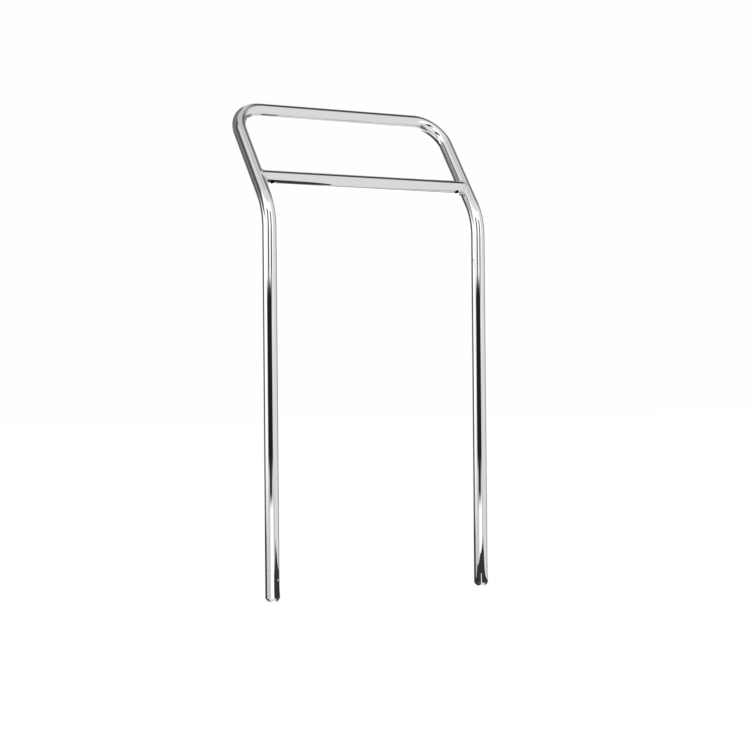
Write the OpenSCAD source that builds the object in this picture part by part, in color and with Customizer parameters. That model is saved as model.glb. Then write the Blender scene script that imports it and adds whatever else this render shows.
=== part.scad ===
// Welded tube frame of a valet stand: a bent hoop with two legs, a crossbar, and domed leg ends.
// X runs along the bars, +Y is the way the upper part leans, +Z is up.
// The origin is midway between the cut ends of the two leg tubes.

/* [Tube] */
// Outside diameter of the hoop and the crossbar
tube_d = 25.4; // [19:0.1:31]
// Wall thickness of both tubes
wall = 1.5; // [1:0.1:2.5]

/* [Hoop] */
// Distance between the centre lines of the two legs
leg_spacing = 440; // [340:1:560]
// Height at which the leg's line and the leaning upright's line cross
bend_height = 671; // [480:1:690]
// Height of the top bar's centre line
top_height = 859; // [840:1:1040]
// Angle by which the upper part leans back from the vertical
lean_angle = 35; // [10:1:45]
// Centre-line radius of the bend between a leg and its leaning upright
lean_bend_r = 108; // [40:1:130]
// Centre-line radius of the two top corners
corner_bend_r = 55; // [38:1:80]

/* [Crossbar] */
// Height of the crossbar's centre line
crossbar_height = 729; // [714:1:790]
// How far the thin edges of the coped ends are trimmed back from the upright's centre line
cope_trim = 4; // [2:0.5:5.5]
// Diameter of the vent hole near each end
vent_d = 8; // [4:0.5:10]
// Distance of the vent hole from the upright's centre line
vent_inset = 24.5; // [20:0.5:60]
// Angle of the vent hole below the horizontal, towards the front
vent_angle = 45; // [0:1:90]

/* [Welds] */
// How far the weld bead stands out along each tube
bead = 2.4; // [1:0.1:4]

/* [Leg ends] */
// Height of the domed head of a leg's end cap
cap_head_h = 8; // [4:0.5:12]
// Length of the cap's stem inside the leg
cap_stem_l = 18; // [8:1:30]
// Wall of the cap's hollow stem
cap_wall = 1.6; // [1:0.1:3]
// Radial play of the stem in the tube
cap_play = 0.05; // [0.02:0.01:0.2]
// Width of the chamfer that leaves a fine seam round the cap's head
seam = 0.4; // [0.1:0.1:0.8]
// Diameter of the fixing hole in the outer side of each leg
fixing_hole_d = 6; // [4:0.5:8]
// Height of the fixing hole above the cut end of the leg tube
fixing_hole_h = 47; // [32:1:120]

/* [Hidden] */
$fn = 96;
tube_r = tube_d / 2;
bore_r = tube_r - wall;
leg_x = leg_spacing / 2;
bend_tangent = lean_bend_r * tan(lean_angle / 2);
leg_straight = bend_height - bend_tangent;
lean_length = (top_height - bend_height) / cos(lean_angle);
upright_straight = lean_length - bend_tangent - corner_bend_r;
crossbar_w = (crossbar_height - bend_height) / cos(lean_angle);
dome_r = (tube_r * tube_r + cap_head_h * cap_head_h) / (2 * cap_head_h);
stem_r = bore_r - cap_play;

// The tube's cross-section, a flat ring.
module tube_section() {
    difference() {
        circle(r = tube_r);
        circle(r = bore_r);
    }
}

// A straight tube, up from the origin.
module straight_tube(length) {
    linear_extrude(height = length) tube_section();
}

// A bent tube, up from the origin and over towards +Y.
module bend(radius, angle) {
    translate([0, radius, 0])
        rotate([90, 0, -90])
            rotate_extrude(angle = angle) translate([radius, 0]) tube_section();
}

module both_sides() {
    children();
    mirror([1, 0, 0]) children();
}

// The modules from here to the hoop tube work about the middle of the lean bends, where the
// flat z = 0 cuts each bend in half: the legs below it and the uprights above it tip towards
// -Y by half of the lean each.
module tipped(angle) {
    rotate([angle, 0, 0]) translate([-leg_x, -lean_bend_r, 0]) children();
}

// The block above z = 0 that a full ring of tube, as wide as the lean bend, would fill.
module ring_block() {
    translate([-tube_d, -lean_bend_r - tube_d, 0])
        cube([2 * tube_d, 2 * (lean_bend_r + tube_d), lean_bend_r + tube_d]);
}

// The lower half of the left lean bend: a ring of tube, cut where the leg ends and at z = 0.
module half_lean_bend() {
    difference() {
        tipped(lean_angle / 2)
            difference() {
                bend(lean_bend_r, 360);
                translate([0, lean_bend_r, 0]) mirror([0, 0, 1]) ring_block();
            }
        translate([-leg_x, 0, 0]) ring_block();
    }
}

module left_leg() {
    tipped(lean_angle / 2) translate([0, 0, -leg_straight]) straight_tube(leg_straight);
    half_lean_bend();
}

// The left upright with its corner and half of the top bar.
module left_upright() {
    mirror([0, 0, 1]) half_lean_bend();
    tipped(-lean_angle / 2) {
        straight_tube(upright_straight);
        translate([0, 0, upright_straight]) {
            rotate([0, 0, -90]) bend(corner_bend_r, 90);
            translate([corner_bend_r, 0, corner_bend_r])
                rotate([0, 90, 0]) straight_tube(leg_x - corner_bend_r);
        }
    }
}

// Puts its children on the left leaning upright, with +Z along it from the bend's corner point.
module on_left_upright() {
    translate([-leg_x, 0, bend_height]) rotate([-lean_angle, 0, 0]) children();
}

// Puts its children on the crossbar, with +Z along the bar from its middle.
module on_crossbar() {
    translate([0, crossbar_w * sin(lean_angle), crossbar_height]) rotate([0, 90, 0]) children();
}

// The outside of the left upright, past the crossbar on both sides.
module left_upright_envelope(radius) {
    on_left_upright()
        translate([0, 0, crossbar_w]) cylinder(r = radius, h = 4 * tube_d, center = true);
}

// The fixing hole goes through the outer wall of the left leg only.
module left_fixing_hole() {
    translate([-leg_x - tube_d, 0, fixing_hole_h])
        rotate([0, 90, 0]) cylinder(d = fixing_hole_d, h = tube_d);
}

// One continuous bent tube.
module hoop_tube() {
    color("silver") difference() {
        translate([0, lean_bend_r, leg_straight])
            rotate([-lean_angle / 2, 0, 0])
                both_sides() {
                    left_leg();
                    left_upright();
                }
        both_sides() left_fixing_hole();
    }
}

// The vent hole near the left end goes through the front lower wall only.
module left_vent_hole() {
    on_crossbar()
        translate([0, 0, vent_inset - leg_x])
            rotate([90, 0, vent_angle]) cylinder(d = vent_d, h = tube_d);
}

module crossbar_tube() {
    color("silver") difference() {
        on_crossbar()
            linear_extrude(height = leg_spacing - 2 * cope_trim, center = true) tube_section();
        both_sides() left_upright_envelope(tube_r);
        both_sides() left_vent_hole();
    }
}

// The bead lies in the corner between the upright and the crossbar, all the way round.
module left_bead() {
    difference() {
        intersection() {
            left_upright_envelope(tube_r + bead);
            on_crossbar() translate([0, 0, -leg_x]) cylinder(r = tube_r + bead, h = tube_d);
        }
        left_upright_envelope(tube_r);
        on_crossbar() translate([0, 0, cope_trim - leg_x]) cylinder(r = tube_r, h = tube_d);
    }
}

module left_weld() {
    color("gainsboro") left_bead();
}

module right_weld() {
    color("gainsboro") mirror([1, 0, 0]) left_bead();
}

// A domed head as wide as the tube, on a hollow stem that goes up into it.
module end_cap() {
    intersection() {
        translate([0, 0, dome_r - cap_head_h]) sphere(r = dome_r);
        union() {
            translate([0, 0, -cap_head_h]) cylinder(r = tube_r, h = cap_head_h - seam);
            translate([0, 0, -seam]) cylinder(r1 = tube_r, r2 = tube_r - seam, h = seam);
        }
    }
    difference() {
        union() {
            cylinder(r = stem_r, h = cap_stem_l - cap_wall);
            translate([0, 0, cap_stem_l - cap_wall])
                cylinder(r1 = stem_r, r2 = stem_r - cap_wall / 2, h = cap_wall);
        }
        cylinder(r = stem_r - cap_wall, h = cap_stem_l + cap_wall);
    }
}

module left_end_cap() {
    color("silver") translate([-leg_x, 0, 0]) end_cap();
}

module right_end_cap() {
    color("silver") translate([leg_x, 0, 0]) end_cap();
}

hoop_tube();
crossbar_tube();
left_weld();
right_weld();
left_end_cap();
right_end_cap();
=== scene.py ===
# %% [markdown]
# # The frame of a valet stand
# The object is one bent steel tube: two legs, a leaning upper part and a top bar. A second tube is
# welded across it, and two domed caps close the legs. All of it is plated with chrome. The CAD model
# gives the exact places. This lesson models the pieces again with more detail, gives them their
# finish and lights them.

# %% Load the CAD frame
import math
import bmesh
import bpy
from mathutils import Matrix, Vector


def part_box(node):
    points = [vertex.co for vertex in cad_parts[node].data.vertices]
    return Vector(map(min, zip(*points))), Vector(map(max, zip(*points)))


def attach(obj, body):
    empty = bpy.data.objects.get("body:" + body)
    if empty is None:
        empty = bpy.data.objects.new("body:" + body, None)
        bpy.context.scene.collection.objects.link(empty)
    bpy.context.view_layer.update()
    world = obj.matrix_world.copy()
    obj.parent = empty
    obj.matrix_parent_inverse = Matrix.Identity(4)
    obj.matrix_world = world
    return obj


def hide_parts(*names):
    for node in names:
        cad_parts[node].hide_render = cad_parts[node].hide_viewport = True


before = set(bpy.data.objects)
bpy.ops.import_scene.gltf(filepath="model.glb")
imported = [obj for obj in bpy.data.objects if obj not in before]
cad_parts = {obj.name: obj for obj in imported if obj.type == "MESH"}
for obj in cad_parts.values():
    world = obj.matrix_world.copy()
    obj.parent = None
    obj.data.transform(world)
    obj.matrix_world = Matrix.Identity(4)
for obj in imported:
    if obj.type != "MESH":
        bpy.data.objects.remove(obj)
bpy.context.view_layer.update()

# %% [markdown]
# ## Sizes
# The boxes of the CAD pieces give the places: the hoop's box gives the legs and the top bar, and the
# crossbar's middle gives its height and its way back. The lean follows from the two bars. The tube's
# own size, the wall and the bend radii are the workshop's numbers, so they are written here.

# %% Read the sizes
crossbar_low, crossbar_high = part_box("crossbar_tube")
hoop_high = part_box("hoop_tube")[1]
dome_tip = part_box("left_end_cap")[0].z

tube_r = 0.0127
wall = 0.0015
bore_r = tube_r - wall
lean_bend_r = 0.108
corner_bend_r = 0.055
leg_x = hoop_high.x - tube_r
top = Vector((0, hoop_high.y - tube_r, hoop_high.z - tube_r))
cross = (crossbar_low + crossbar_high) / 2
lean = math.atan2(top.y - cross.y, top.z - cross.z)
bend_height = cross.z - cross.y / math.tan(lean)
dome_h = -dome_tip
print("legs at x", round(leg_x, 4), "lean", round(math.degrees(lean), 2), "degrees, bend at",
      round(bend_height, 4), "top bar at", round(top.z, 4), "crossbar at", round(cross.z, 4))

# %% [markdown]
# ## Camera
# The stand is seen from its left front at less than half its height. A long lens far away keeps the
# two legs nearly parallel.

# %% Place the camera
CAMERA_PLACE = Vector((-1.8803, -2.9420, 0.3709))
CAMERA_TURN = math.radians(32.481)
CAMERA_RISE = math.radians(0.191)
CAMERA_ROLL = math.radians(0.506)

camera_data = bpy.data.cameras.new("camera")
camera_data.lens = 94.07
camera_data.sensor_width = 36
camera = bpy.data.objects.new("camera", camera_data)
camera.location = CAMERA_PLACE
camera.rotation_euler = (math.pi / 2 + CAMERA_RISE, CAMERA_ROLL, -CAMERA_TURN)
bpy.context.scene.collection.objects.link(camera)
bpy.context.scene.camera = camera

# %% [markdown]
# ## Helpers
# Each piece starts as a bmesh and ends as an object at the origin, with its place in its mesh. A ring
# of edges is the mouth of a tube. `pull` draws the mouth along a straight way and `bend` turns it
# round an axis, as a tube bender does. `drill` cuts a rod's shape out of a piece, as a drill or a hole
# saw would.

# %% Define the helpers
RING = 96
CRISP = math.radians(35)
SAME_POINT = 1e-6


def as_piece(name, bm):
    """Makes the bmesh an object: smooth, with edges sharper than CRISP left crisp."""
    mesh = bpy.data.meshes.new(name)
    bm.to_mesh(mesh)
    bm.free()
    mesh.shade_smooth()
    mesh.set_sharp_from_angle(angle=CRISP)
    piece = bpy.data.objects.new(name, mesh)
    bpy.context.scene.collection.objects.link(piece)
    return piece


def mouth(bm, radius, place, turn=Matrix.Identity(3)):
    """A ring of edges round a tube's axis, flat unless turned."""
    matrix = Matrix.Translation(place) @ turn.to_4x4()
    made = bmesh.ops.create_circle(bm, segments=RING, radius=radius, matrix=matrix)
    return list({e for v in made["verts"] for e in v.link_edges})


def edges_of(geom):
    return [g for g in geom if isinstance(g, bmesh.types.BMEdge)]


def pull(bm, edges, way, steps):
    """Draws the mouth along a straight way and returns the new mouth."""
    for _ in range(steps):
        made = bmesh.ops.extrude_edge_only(bm, edges=edges)["geom"]
        bmesh.ops.translate(bm, verts=[g for g in made if isinstance(g, bmesh.types.BMVert)],
                            vec=way / steps)
        edges = edges_of(made)
    return edges


def bend(bm, edges, centre, axis, angle, steps):
    """Turns the mouth round an axis and returns the new mouth."""
    made = bmesh.ops.spin(bm, geom=edges, cent=centre, axis=axis, angle=angle, steps=steps)
    return edges_of(made["geom_last"])


def give_wall(bm):
    """Gives the skin its wall, inwards. The inner faces get the second finish."""
    bmesh.ops.remove_doubles(bm, verts=bm.verts, dist=SAME_POINT)
    bmesh.ops.recalc_face_normals(bm, faces=bm.faces)
    skin = set(bm.faces)
    bmesh.ops.solidify(bm, geom=bm.faces[:], thickness=wall)
    for face in bm.faces:
        face.material_index = 0 if face in skin else 1


def rod(radius, low, high, place, turn):
    """A solid rod along its own z from low to high, turned and placed: the shape of a hole."""
    bm = bmesh.new()
    middle = Matrix.Translation((0, 0, (low + high) / 2))
    bmesh.ops.create_cone(bm, cap_ends=True, segments=RING, radius1=radius, radius2=radius,
                          depth=high - low, matrix=Matrix.Translation(place) @ turn.to_4x4() @ middle)
    return bm


def drill(piece, *rods):
    """Cuts the rods' shapes out of the piece and merges the slivers' points."""
    for bm in rods:
        cutter = as_piece("cutter", bm)
        cut = piece.modifiers.new("cut", "BOOLEAN")
        cut.operation = "DIFFERENCE"
        cut.solver = "EXACT"
        cut.object = cutter
        drilled = piece.evaluated_get(bpy.context.evaluated_depsgraph_get())
        undrilled, piece.data = piece.data, bpy.data.meshes.new_from_object(drilled)
        piece.modifiers.clear()
        bpy.data.meshes.remove(undrilled)
        bpy.data.meshes.remove(cutter.data)
    bm = bmesh.new()
    bm.from_mesh(piece.data)
    bmesh.ops.remove_doubles(bm, verts=bm.verts, dist=5 * SAME_POINT)
    bm.to_mesh(piece.data)
    bm.free()
    piece.data.name = piece.name
    piece.data.set_sharp_from_angle(angle=CRISP)


def place_piece(piece, node):
    """Hides the CAD node that the piece stands in for, hangs the piece on the root body and prints its
    triangles.
    """
    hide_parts(node)
    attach(piece, "root")
    piece.data.calc_loop_triangles()
    print(piece.name, len(piece.data.loop_triangles), "triangles")


# %% [markdown]
# ## The hoop
# A tube bender makes the hoop from one straight length, and the same moves work here, from the left
# foot round to the right one. A curve with a round bevel would also give a tube, but this way the
# bends are true arcs, and the quads stay even where the chrome shows every dent. The wall comes after
# the skin.

# %% Lay out the hoop
tangent = lean_bend_r * math.tan(lean / 2)
leg_straight = Vector((0, 0, bend_height - tangent))
lean_way = Vector((0, math.sin(lean), math.cos(lean)))
across = Vector((1, 0, 0))
lean_normal = lean_way.cross(across)
upright_straight = lean_way * ((top.z - bend_height) / math.cos(lean) - tangent - corner_bend_r)
top_straight = across * 2 * (leg_x - corner_bend_r)
lean_centre = Vector((0, lean_bend_r, leg_straight.z))
left_corner = top - top_straight / 2 - lean_way * corner_bend_r
right_corner = left_corner + top_straight
print("straight lengths: leg", round(leg_straight.length, 4), "upright",
      round(upright_straight.length, 4), "top", round(top_straight.length, 4))

# %% Bend the hoop
LEG_STEPS = 60
LEAN_STEPS = 32
UPRIGHT_STEPS = 8
CORNER_STEPS = 48
TOP_STEPS = 24

bm = bmesh.new()
end = mouth(bm, tube_r, (-leg_x, 0, 0))
end = pull(bm, end, leg_straight, LEG_STEPS)
end = bend(bm, end, lean_centre, -across, lean, LEAN_STEPS)
end = pull(bm, end, upright_straight, UPRIGHT_STEPS)
end = bend(bm, end, left_corner, lean_normal, math.pi / 2, CORNER_STEPS)
end = pull(bm, end, top_straight, TOP_STEPS)
end = bend(bm, end, right_corner, lean_normal, math.pi / 2, CORNER_STEPS)
end = pull(bm, end, -upright_straight, UPRIGHT_STEPS)
end = bend(bm, end, lean_centre, across, lean, LEAN_STEPS)
end = pull(bm, end, -leg_straight, LEG_STEPS)
right_foot = sum((e.verts[0].co for e in end), Vector()) / len(end)
print("the right foot ends at", [round(x, 5) for x in right_foot])
give_wall(bm)
hoop = as_piece("hoop", bm)

# %% [markdown]
# A small hole low in the outer side of each leg takes the screw that holds the leg in its socket. Only
# the outer wall is drilled. A boolean modifier, applied at once, cuts as cleanly as a drill, and the
# hole's inside then shows the true wall.

# %% Drill the fixing holes
FIXING_HOLE_R = 0.003
FIXING_HOLE_H = 0.047
sideways = Matrix.Rotation(math.pi / 2, 3, "Y")
drill(hoop,
      rod(FIXING_HOLE_R, -2 * tube_r, 0, (-leg_x, 0, FIXING_HOLE_H), sideways),
      rod(FIXING_HOLE_R, 0, 2 * tube_r, (leg_x, 0, FIXING_HOLE_H), sideways))
place_piece(hoop, "hoop_tube")

# %% [markdown]
# ## The crossbar
# A second length of the same tube runs between the leaning uprights. Its ends are coped: a hole saw as
# wide as the tube bites a saddle out of each, so that it sits snug on the round upright. Two vent
# holes near the ends, low on the front, let the plating bath drain out.

# %% Cope and drill the crossbar
COPE_TRIM = 0.004
VENT_R = 0.004
VENT_INSET = 0.0245
CROSSBAR_STEPS = 60
along_lean = Matrix.Rotation(-lean, 3, "X")
low_front = Matrix.Rotation(math.radians(135), 3, "X")

bm = bmesh.new()
end = mouth(bm, tube_r, cross - across * (leg_x - COPE_TRIM), sideways)
pull(bm, end, across * 2 * (leg_x - COPE_TRIM), CROSSBAR_STEPS)
give_wall(bm)
crossbar = as_piece("crossbar", bm)
drill(crossbar,
      *[rod(tube_r, -2 * tube_r, 2 * tube_r, cross + across * side * leg_x, along_lean)
        for side in (-1, 1)],
      *[rod(VENT_R, 0, 2 * tube_r, cross + across * side * (leg_x - VENT_INSET), low_front)
        for side in (-1, 1)])
place_piece(crossbar, "crossbar_tube")

# %% [markdown]
# ## The welds
# A welder lays a bead all the way round each saddle, as a row of small overlapping puddles. A ring of
# the bead's thickness is spun round the crossbar. Then each point moves along the bar to where the
# upright's side is, and a gentle wave makes the puddles.

# %% Lay the beads
BEAD_R = 0.0022
BEAD_RING = 16
BEAD_STEPS = 240
PUDDLES = 26
PUDDLE_DEPTH = 0.05


def lay_bead(name, side):
    """A rippled ring that follows the saddle between the crossbar and one upright."""
    bm = bmesh.new()
    start = cross + lean_way * tube_r
    across_bead = Matrix.Translation(start) @ Matrix.Rotation(math.pi / 2 - lean, 4, "X")
    made = bmesh.ops.create_circle(bm, segments=BEAD_RING, radius=BEAD_R, matrix=across_bead)
    edges = list({e for v in made["verts"] for e in v.link_edges})
    bmesh.ops.spin(bm, geom=edges, cent=cross, axis=across, angle=2 * math.pi, steps=BEAD_STEPS,
                   use_merge=True)
    bmesh.ops.remove_doubles(bm, verts=bm.verts, dist=SAME_POINT / 10)
    for v in bm.verts:
        out = v.co - cross
        out.x = 0
        up = out.normalized().dot(lean_way)
        turn = math.atan2(out.dot(lean_normal), out.dot(lean_way))
        centre = cross + out.normalized() * tube_r
        v.co = centre + (v.co - centre) * (1 + PUDDLE_DEPTH * math.sin(PUDDLES * turn))
        v.co.x += side * (leg_x - math.hypot(tube_r * up, COPE_TRIM / 2))
    bmesh.ops.recalc_face_normals(bm, faces=bm.faces)
    return as_piece(name, bm)


left_bead = lay_bead("left_bead", -1)
place_piece(left_bead, "left_weld")
right_bead = lay_bead("right_bead", 1)
place_piece(right_bead, "right_weld")

# %% [markdown]
# ## The end caps
# Each leg is closed by a turned cap: a domed head as wide as the tube, a fine chamfer that leaves a
# seam, and a hollow stem pressed into the bore. A lathe makes it from one profile, and so does spin:
# first a single point swings through the dome, then the line is drawn on, then all of it goes round.

# %% Turn the caps
STEM_L = 0.018
STEM_WALL = 0.0016
SEAM = 0.0004
PLAY = 0.00005
DOME_INSET = 0.00002
DOME_STEPS = 24
stem_r = bore_r - PLAY
dome_r = (tube_r ** 2 + dome_h ** 2) / (2 * dome_h)


def turn_cap(name, x):
    """A domed cap with its stem, turned about the leg's axis."""
    bm = bmesh.new()
    rim = math.asin((tube_r - DOME_INSET) / dome_r) - SEAM / tube_r
    tip = bm.verts.new((x, 0, -dome_h))
    made = bmesh.ops.spin(bm, geom=[tip], cent=(x, 0, dome_r - dome_h), axis=(0, -1, 0), angle=rim,
                          steps=DOME_STEPS)
    last = [g for g in made["geom_last"] if isinstance(g, bmesh.types.BMVert)][0]
    corners = [(tube_r - SEAM, 0), (stem_r, 0), (stem_r, STEM_L - SEAM), (stem_r - SEAM, STEM_L),
               (stem_r - STEM_WALL, STEM_L), (stem_r - STEM_WALL, 0), (0, 0)]
    for r, z in corners:
        new = bmesh.ops.extrude_vert_indiv(bm, verts=[last])["verts"][0]
        new.co = (x + r, 0, z)
        last = new
    bmesh.ops.spin(bm, geom=bm.verts[:] + bm.edges[:], cent=(x, 0, 0), axis=(0, 0, 1),
                   angle=2 * math.pi, steps=RING, use_merge=True)
    bmesh.ops.remove_doubles(bm, verts=bm.verts, dist=SAME_POINT / 10)
    bmesh.ops.recalc_face_normals(bm, faces=bm.faces)
    return as_piece(name, bm)


left_cap = turn_cap("left_cap", -leg_x)
place_piece(left_cap, "left_end_cap")
right_cap = turn_cap("right_cap", leg_x)
place_piece(right_cap, "right_end_cap")

# %% [markdown]
# ## Finishes
# Chrome plate is a metal mirror that returns most of the light. Its colour is almost nothing, so the
# small flaws carry the look: a slow wave from drawing and polishing the tube, the faint orange peel
# of the plating, a haze of fine wiping scratches, and dull scuffs low on the legs where a socket rubs.
# Each is a noise of its true size, in metres, read from object coordinates. `Nodes` keeps the wiring
# short: `add` makes a node and fills or links its sockets, `maths` is one sum, `ramp` is a soft step.

# %% Define the node helpers
class Nodes:
    """Short calls for a material's nodes."""

    def __init__(self, tree):
        self.tree = tree
        tree.nodes.clear()

    def add(self, kind, links=(), **values):
        node = self.tree.nodes.new("ShaderNode" + kind)
        for key, value in values.items():
            setattr(node, key, value)
        for name, source in dict(links).items():
            socket = node.inputs[name]
            if hasattr(source, "links"):
                self.tree.links.new(source, socket)
            else:
                socket.default_value = source
        return node.outputs

    def maths(self, operation, *sources):
        return self.add("Math", enumerate(sources), operation=operation)[0]

    def ramp(self, source, low, high, to_low=0.0, to_high=1.0):
        """A soft step from to_low to to_high as the source goes from low to high."""
        return self.add("MapRange", {"Value": source, "From Min": low, "From Max": high,
                                     "To Min": to_low, "To Max": to_high},
                        interpolation_type="SMOOTHSTEP")["Result"]


def noise(n, place, scale, detail=2.0, stretch=(1, 1, 1)):
    """A noise whose lumps are about 1/scale metres across."""
    mapped = n.add("Mapping", {"Vector": place, "Scale": stretch})["Vector"]
    return n.add("TexNoise", {"Vector": mapped, "Scale": scale, "Detail": detail})["Fac"]


# %% [markdown]
# One recipe makes all the chrome. The tube is the smoothest. The weld beads are plated over a rough
# surface that no wheel can reach, and the caps are polished on their own before they go in, so both
# are duller. Constants go straight on the shader, and only the roughness and the bumps are wired.

# %% Mix the chrome
SCRATCHES_PER_M = 900
FINGER_MARKS_PER_M = 18
SCUFFS_PER_M = 260
SCUFF_ROUGHNESS = 0.10
WAVES_PER_M = 35
PEEL_PER_M = 700


def chrome(name, colour, rough, wave_mm, peel_mm, haze, scuff_height):
    """Polished plate: mirror colour, roughness with haze and scuffs, and two sizes of bump."""
    material = bpy.data.materials.new(name)
    material.use_nodes = True
    n = Nodes(material.node_tree)
    place = n.add("TexCoord")["Object"]
    height = n.add("SeparateXYZ", {"Vector": place})["Z"]
    scratches = n.ramp(noise(n, place, SCRATCHES_PER_M, 3, (1, 1, 0.05)), 0.55, 0.75)
    fingers = n.ramp(noise(n, place, FINGER_MARKS_PER_M, 3), 0.45, 0.75)
    hazed = n.maths("MULTIPLY", n.maths("ADD", scratches, fingers), haze)
    low = n.ramp(height, 0.0, scuff_height, 1.0, 0.0)
    rubs = n.ramp(noise(n, place, SCUFFS_PER_M, 4, (1, 1, 0.3)), 0.5, 0.7)
    scuffs = n.maths("MULTIPLY", n.maths("MULTIPLY", low, rubs), SCUFF_ROUGHNESS)
    roughness = n.maths("ADD", n.maths("ADD", hazed, rough), scuffs)
    wave = n.add("Bump", {"Height": noise(n, place, WAVES_PER_M, 1, (1, 1, 0.25)),
                          "Distance": wave_mm / 1000, "Strength": 1.0})["Normal"]
    peel = n.add("Bump", {"Height": noise(n, place, PEEL_PER_M, 2), "Distance": peel_mm / 1000,
                          "Strength": 1.0, "Normal": wave})["Normal"]
    shader = n.add("BsdfPrincipled", {"Base Color": (*colour, 1), "Metallic": 1.0,
                                      "Roughness": roughness, "Normal": peel})
    n.add("OutputMaterial", {"Surface": shader["BSDF"]})
    return material


# name, colour, roughness, wave and peel in mm, haze, height of the scuffs
tube_finish = chrome("tube_chrome", (0.86, 0.865, 0.87), 0.012, 0.006, 0.00006, 0.010, 0.07)
weld_finish = chrome("weld_chrome", (0.80, 0.80, 0.80), 0.09, 0.004, 0.004, 0.05, 0.001)
cap_finish = chrome("cap_chrome", (0.84, 0.845, 0.85), 0.05, 0.002, 0.001, 0.04, 0.02)

# %% [markdown]
# Inside the tube the plating is thin and the steel shows: dark, rough and a little rusty. It is seen
# only through the holes.

# %% Leave the bore bare
RUST_PER_M = 120
bore_finish = bpy.data.materials.new("bare_bore")
bore_finish.use_nodes = True
n = Nodes(bore_finish.node_tree)
place = n.add("TexCoord")["Object"]
rust = n.ramp(noise(n, place, RUST_PER_M, 4), 0.5, 0.7)
steel = n.add("Mix", {"Factor": rust, "A": (0.05, 0.05, 0.05, 1), "B": (0.06, 0.035, 0.02, 1)},
              data_type="RGBA")["Result"]
shader = n.add("BsdfPrincipled", {"Base Color": steel, "Roughness": 0.7, "Metallic": 0.3})
n.add("OutputMaterial", {"Surface": shader["BSDF"]})

# %% [markdown]
# The first finish covers the outside of a piece. The tubes' inner faces were given the second place
# when the wall was made, so the bare bore shows there and in no other place.

# %% Give the pieces their finishes
for piece, finishes in ((hoop, (tube_finish, bore_finish)), (crossbar, (tube_finish, bore_finish)),
                        (left_bead, (weld_finish,)), (right_bead, (weld_finish,)),
                        (left_cap, (cap_finish,)), (right_cap, (cap_finish,))):
    piece.data.materials.clear()
    for finish in finishes:
        piece.data.materials.append(finish)
    print(piece.name, [finish.name for finish in finishes])

# %% [markdown]
# ## Floor and studio
# The floor is plain and pale, and glows a little so that it meets the white behind it without a line.
# It is hidden from the chrome, because the chrome gets its own surroundings from the studio below.

# %% Lay the floor
FLOOR_GAP = 0.0002
FLOOR_HALF = 14
floor_h = dome_tip - FLOOR_GAP


def stage_piece(name, corners, strength, paint):
    """A flat stage piece with these corners and a glow added to its paint."""
    mesh = bpy.data.meshes.new(name)
    bm = bmesh.new()
    bm.faces.new([bm.verts.new(corner) for corner in corners])
    bm.normal_update()
    bm.to_mesh(mesh)
    bm.free()
    piece = bpy.data.objects.new(name, mesh)
    bpy.context.scene.collection.objects.link(piece)
    material = bpy.data.materials.new(name)
    material.use_nodes = True
    n = Nodes(material.node_tree)
    matt = n.add("BsdfDiffuse", {"Color": (paint, paint, paint, 1)})["BSDF"]
    glow = n.add("Emission", {"Color": (1, 1, 1, 1), "Strength": strength})["Emission"]
    n.add("OutputMaterial", {"Surface": n.add("AddShader", {0: matt, 1: glow})["Shader"]})
    mesh.materials.append(material)
    return piece


floor = stage_piece("floor", [(x * FLOOR_HALF, y * FLOOR_HALF, floor_h)
                              for x, y in ((-1, -1), (1, -1), (1, 1), (-1, 1))], 0.835, 0.30)
print("floor at", round(floor_h, 4))
floor.visible_glossy = False

# %% [markdown]
# A mirror shows its surroundings, so the studio matters as much as the finish. It is built in the
# world shader as broad soft panels by direction: azimuth 0 is straight in front of the stand and grows
# to its right, and elevation is up from the horizon. Chrome turns each panel into a long stripe down
# the tubes. Lights and cards would do the same, but a far studio gives both legs the same stripes. The
# camera itself sees plain white behind the stand.

# %% Start the studio
world = bpy.data.worlds.new("studio")
bpy.context.scene.world = world
world.use_nodes = True
n = Nodes(world.node_tree)
xyz = n.add("SeparateXYZ", {"Vector": n.add("TexCoord")["Generated"]})
azimuth = n.maths("ARCTAN2", xyz["X"], n.maths("MULTIPLY", xyz["Y"], -1.0))
elevation = n.maths("ARCSINE", xyz["Z"])


def inside(angle, low, high, edge):
    """1 between low and high, with a soft edge, in degrees."""
    middle, half, edge = (math.radians(x) for x in ((low + high) / 2, (high - low) / 2, edge))
    away = n.maths("WRAP", n.maths("SUBTRACT", angle, middle), math.pi, -math.pi)
    return n.ramp(n.maths("ABSOLUTE", away), half - edge / 2, half + edge / 2, 1.0, 0.0)


def tone(brightness, warmth):
    return (brightness * (1 + warmth), brightness, brightness * (1 - warmth), 1)


def panel(behind, brightness, warmth, azimuths, elevations, edges):
    """Covers what is behind with a soft-edged panel."""
    mask = n.maths("MULTIPLY", inside(azimuth, *azimuths, edges[0]),
                   inside(elevation, *elevations, edges[1]))
    return n.add("Mix", {"Factor": mask, "A": behind, "B": tone(brightness, warmth)},
                 data_type="RGBA")["Result"]


# %% [markdown]
# Each panel covers the ones before it. The dark room in front gives the legs their dark stripe, the
# soft box above it gives the bright bends, and the boom over the right gives the bars their dark top
# line. Low panels stand in for the floor near the legs.

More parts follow.
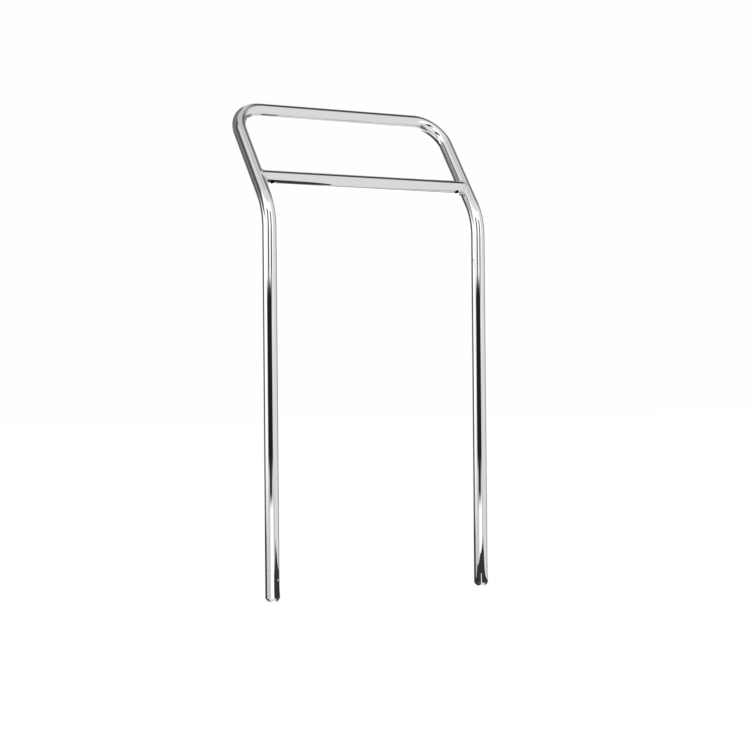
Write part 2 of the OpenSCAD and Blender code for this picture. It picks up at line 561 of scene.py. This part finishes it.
# %% Hang the studio's panels
PANELS = (
    # brightness, warmth, azimuths, elevations, soft edges
    (0.60, 0.00, (-180, 180), (66, 114), (1, 10)),   # ceiling
    (1.25, 0.00, (118, 184), (-70, 16), (16, 8)),    # white behind
    (0.20, 0.04, (-200, -90), (8, 70), (12, 8)),     # back wall on the left
    (0.09, 0.04, (-118, -89), (14, 70), (14, 8)),    # dark curtain at its edge
    (0.07, 0.04, (68, 142), (38, 66), (18, 14)),     # dark boom over the right
    (0.66, -0.02, (-134, -56), (-14, -3), (6, 1)),   # floor on the left
    (1.25, 0.00, (-54, -8), (-14, -3), (5, 1)),      # floor in front
    (0.50, 0.02, (-4, 10), (-14, -3), (6, 1)),
    (1.25, 0.00, (-136, -88), (-3.2, 12), (5, 6)),   # left window
    (1.25, 0.00, (-92, 27), (3, 45), (8, 8)),        # big soft box in front
    (0.02, 0.10, (-57, -39), (2.6, 30), (4, 2)),     # its dark frame
    (0.02, 0.10, (-11, 6), (2.6, 30), (4, 2)),
    (0.03, 0.10, (-163, -135), (-60, 9), (6, 4)),    # doorway behind on the left
    (0.20, 0.03, (-198, -158), (-60, 9), (10, 4)),
    (0.012, 0.00, (-176, -127), (-60, -4.2), (6, 1)),
    (0.018, -0.15, (-78, -5), (-2.5, 2.8), (4, 0.8)),  # the dark room in front
    (0.018, -0.15, (-62, -18), (-3.5, 2.9), (26, 0.6)),
    (0.24, -0.05, (81, 110), (-14, 50), (6, 10)),    # a stand on the right
)
light = tone(0.80, -0.015)
for values in PANELS:
    light = panel(light, *values)
seen = n.add("LightPath")["Is Camera Ray"]
light = n.add("Mix", {"Factor": seen, "A": light, "B": (0.99, 0.99, 0.99, 1)},
              data_type="RGBA")["Result"]
background = n.add("Background", {"Color": light, "Strength": 1.0})
n.add("OutputWorld", {"Surface": background["Background"]})
bpy.context.scene.view_settings.view_transform = "Standard"
print("panels:", len(PANELS))

# %% [markdown]
# Two dark cards that only the chrome sees lie near the stand. One is a dark sheet on the floor between
# the legs, which darkens their lower ends. The other, a small strip under the crossbar, is a painted
# shadow: it gives the bars the dark line that a shadow on the floor would put in their reflection. The
# floor card is slit at the right foot, so that a light streak shows there.

# %% Lay the dark cards
floor_card_h = floor_h + 0.001
bar_shadow_card_h = 0.60
dark_cards = (
    # the dark sheet on the floor between the legs, seen only in the chrome
    stage_piece("floor_dark_card", [(-0.2145, 0.08, floor_card_h), (-0.2165, -0.05, floor_card_h), (-0.27, -0.49, floor_card_h),
                              (0.33, -1.32, floor_card_h), (0.47, -0.68, floor_card_h), (0.36, -0.05, floor_card_h),
                              (0.33, 0.08, floor_card_h), (0.226, 0.08, floor_card_h), (0.226, -0.01, floor_card_h),
                              (0.11, -0.24, floor_card_h), (0.08, -0.22, floor_card_h), (0.213, -0.01, floor_card_h),
                              (0.213, 0.08, floor_card_h)], 0.04, 0.0),
    # the strip under the crossbar: a painted shadow, seen only in the bars' reflection
    stage_piece("bar_shadow_card", [(-0.12, 0.043, bar_shadow_card_h), (0.29, 0.043, bar_shadow_card_h),
                            (0.29, 0.066, bar_shadow_card_h), (-0.12, 0.066, bar_shadow_card_h)], 0.22, 0.0),
)
for card in dark_cards:
    card.visible_camera = False
    card.visible_diffuse = False
    card.visible_shadow = False
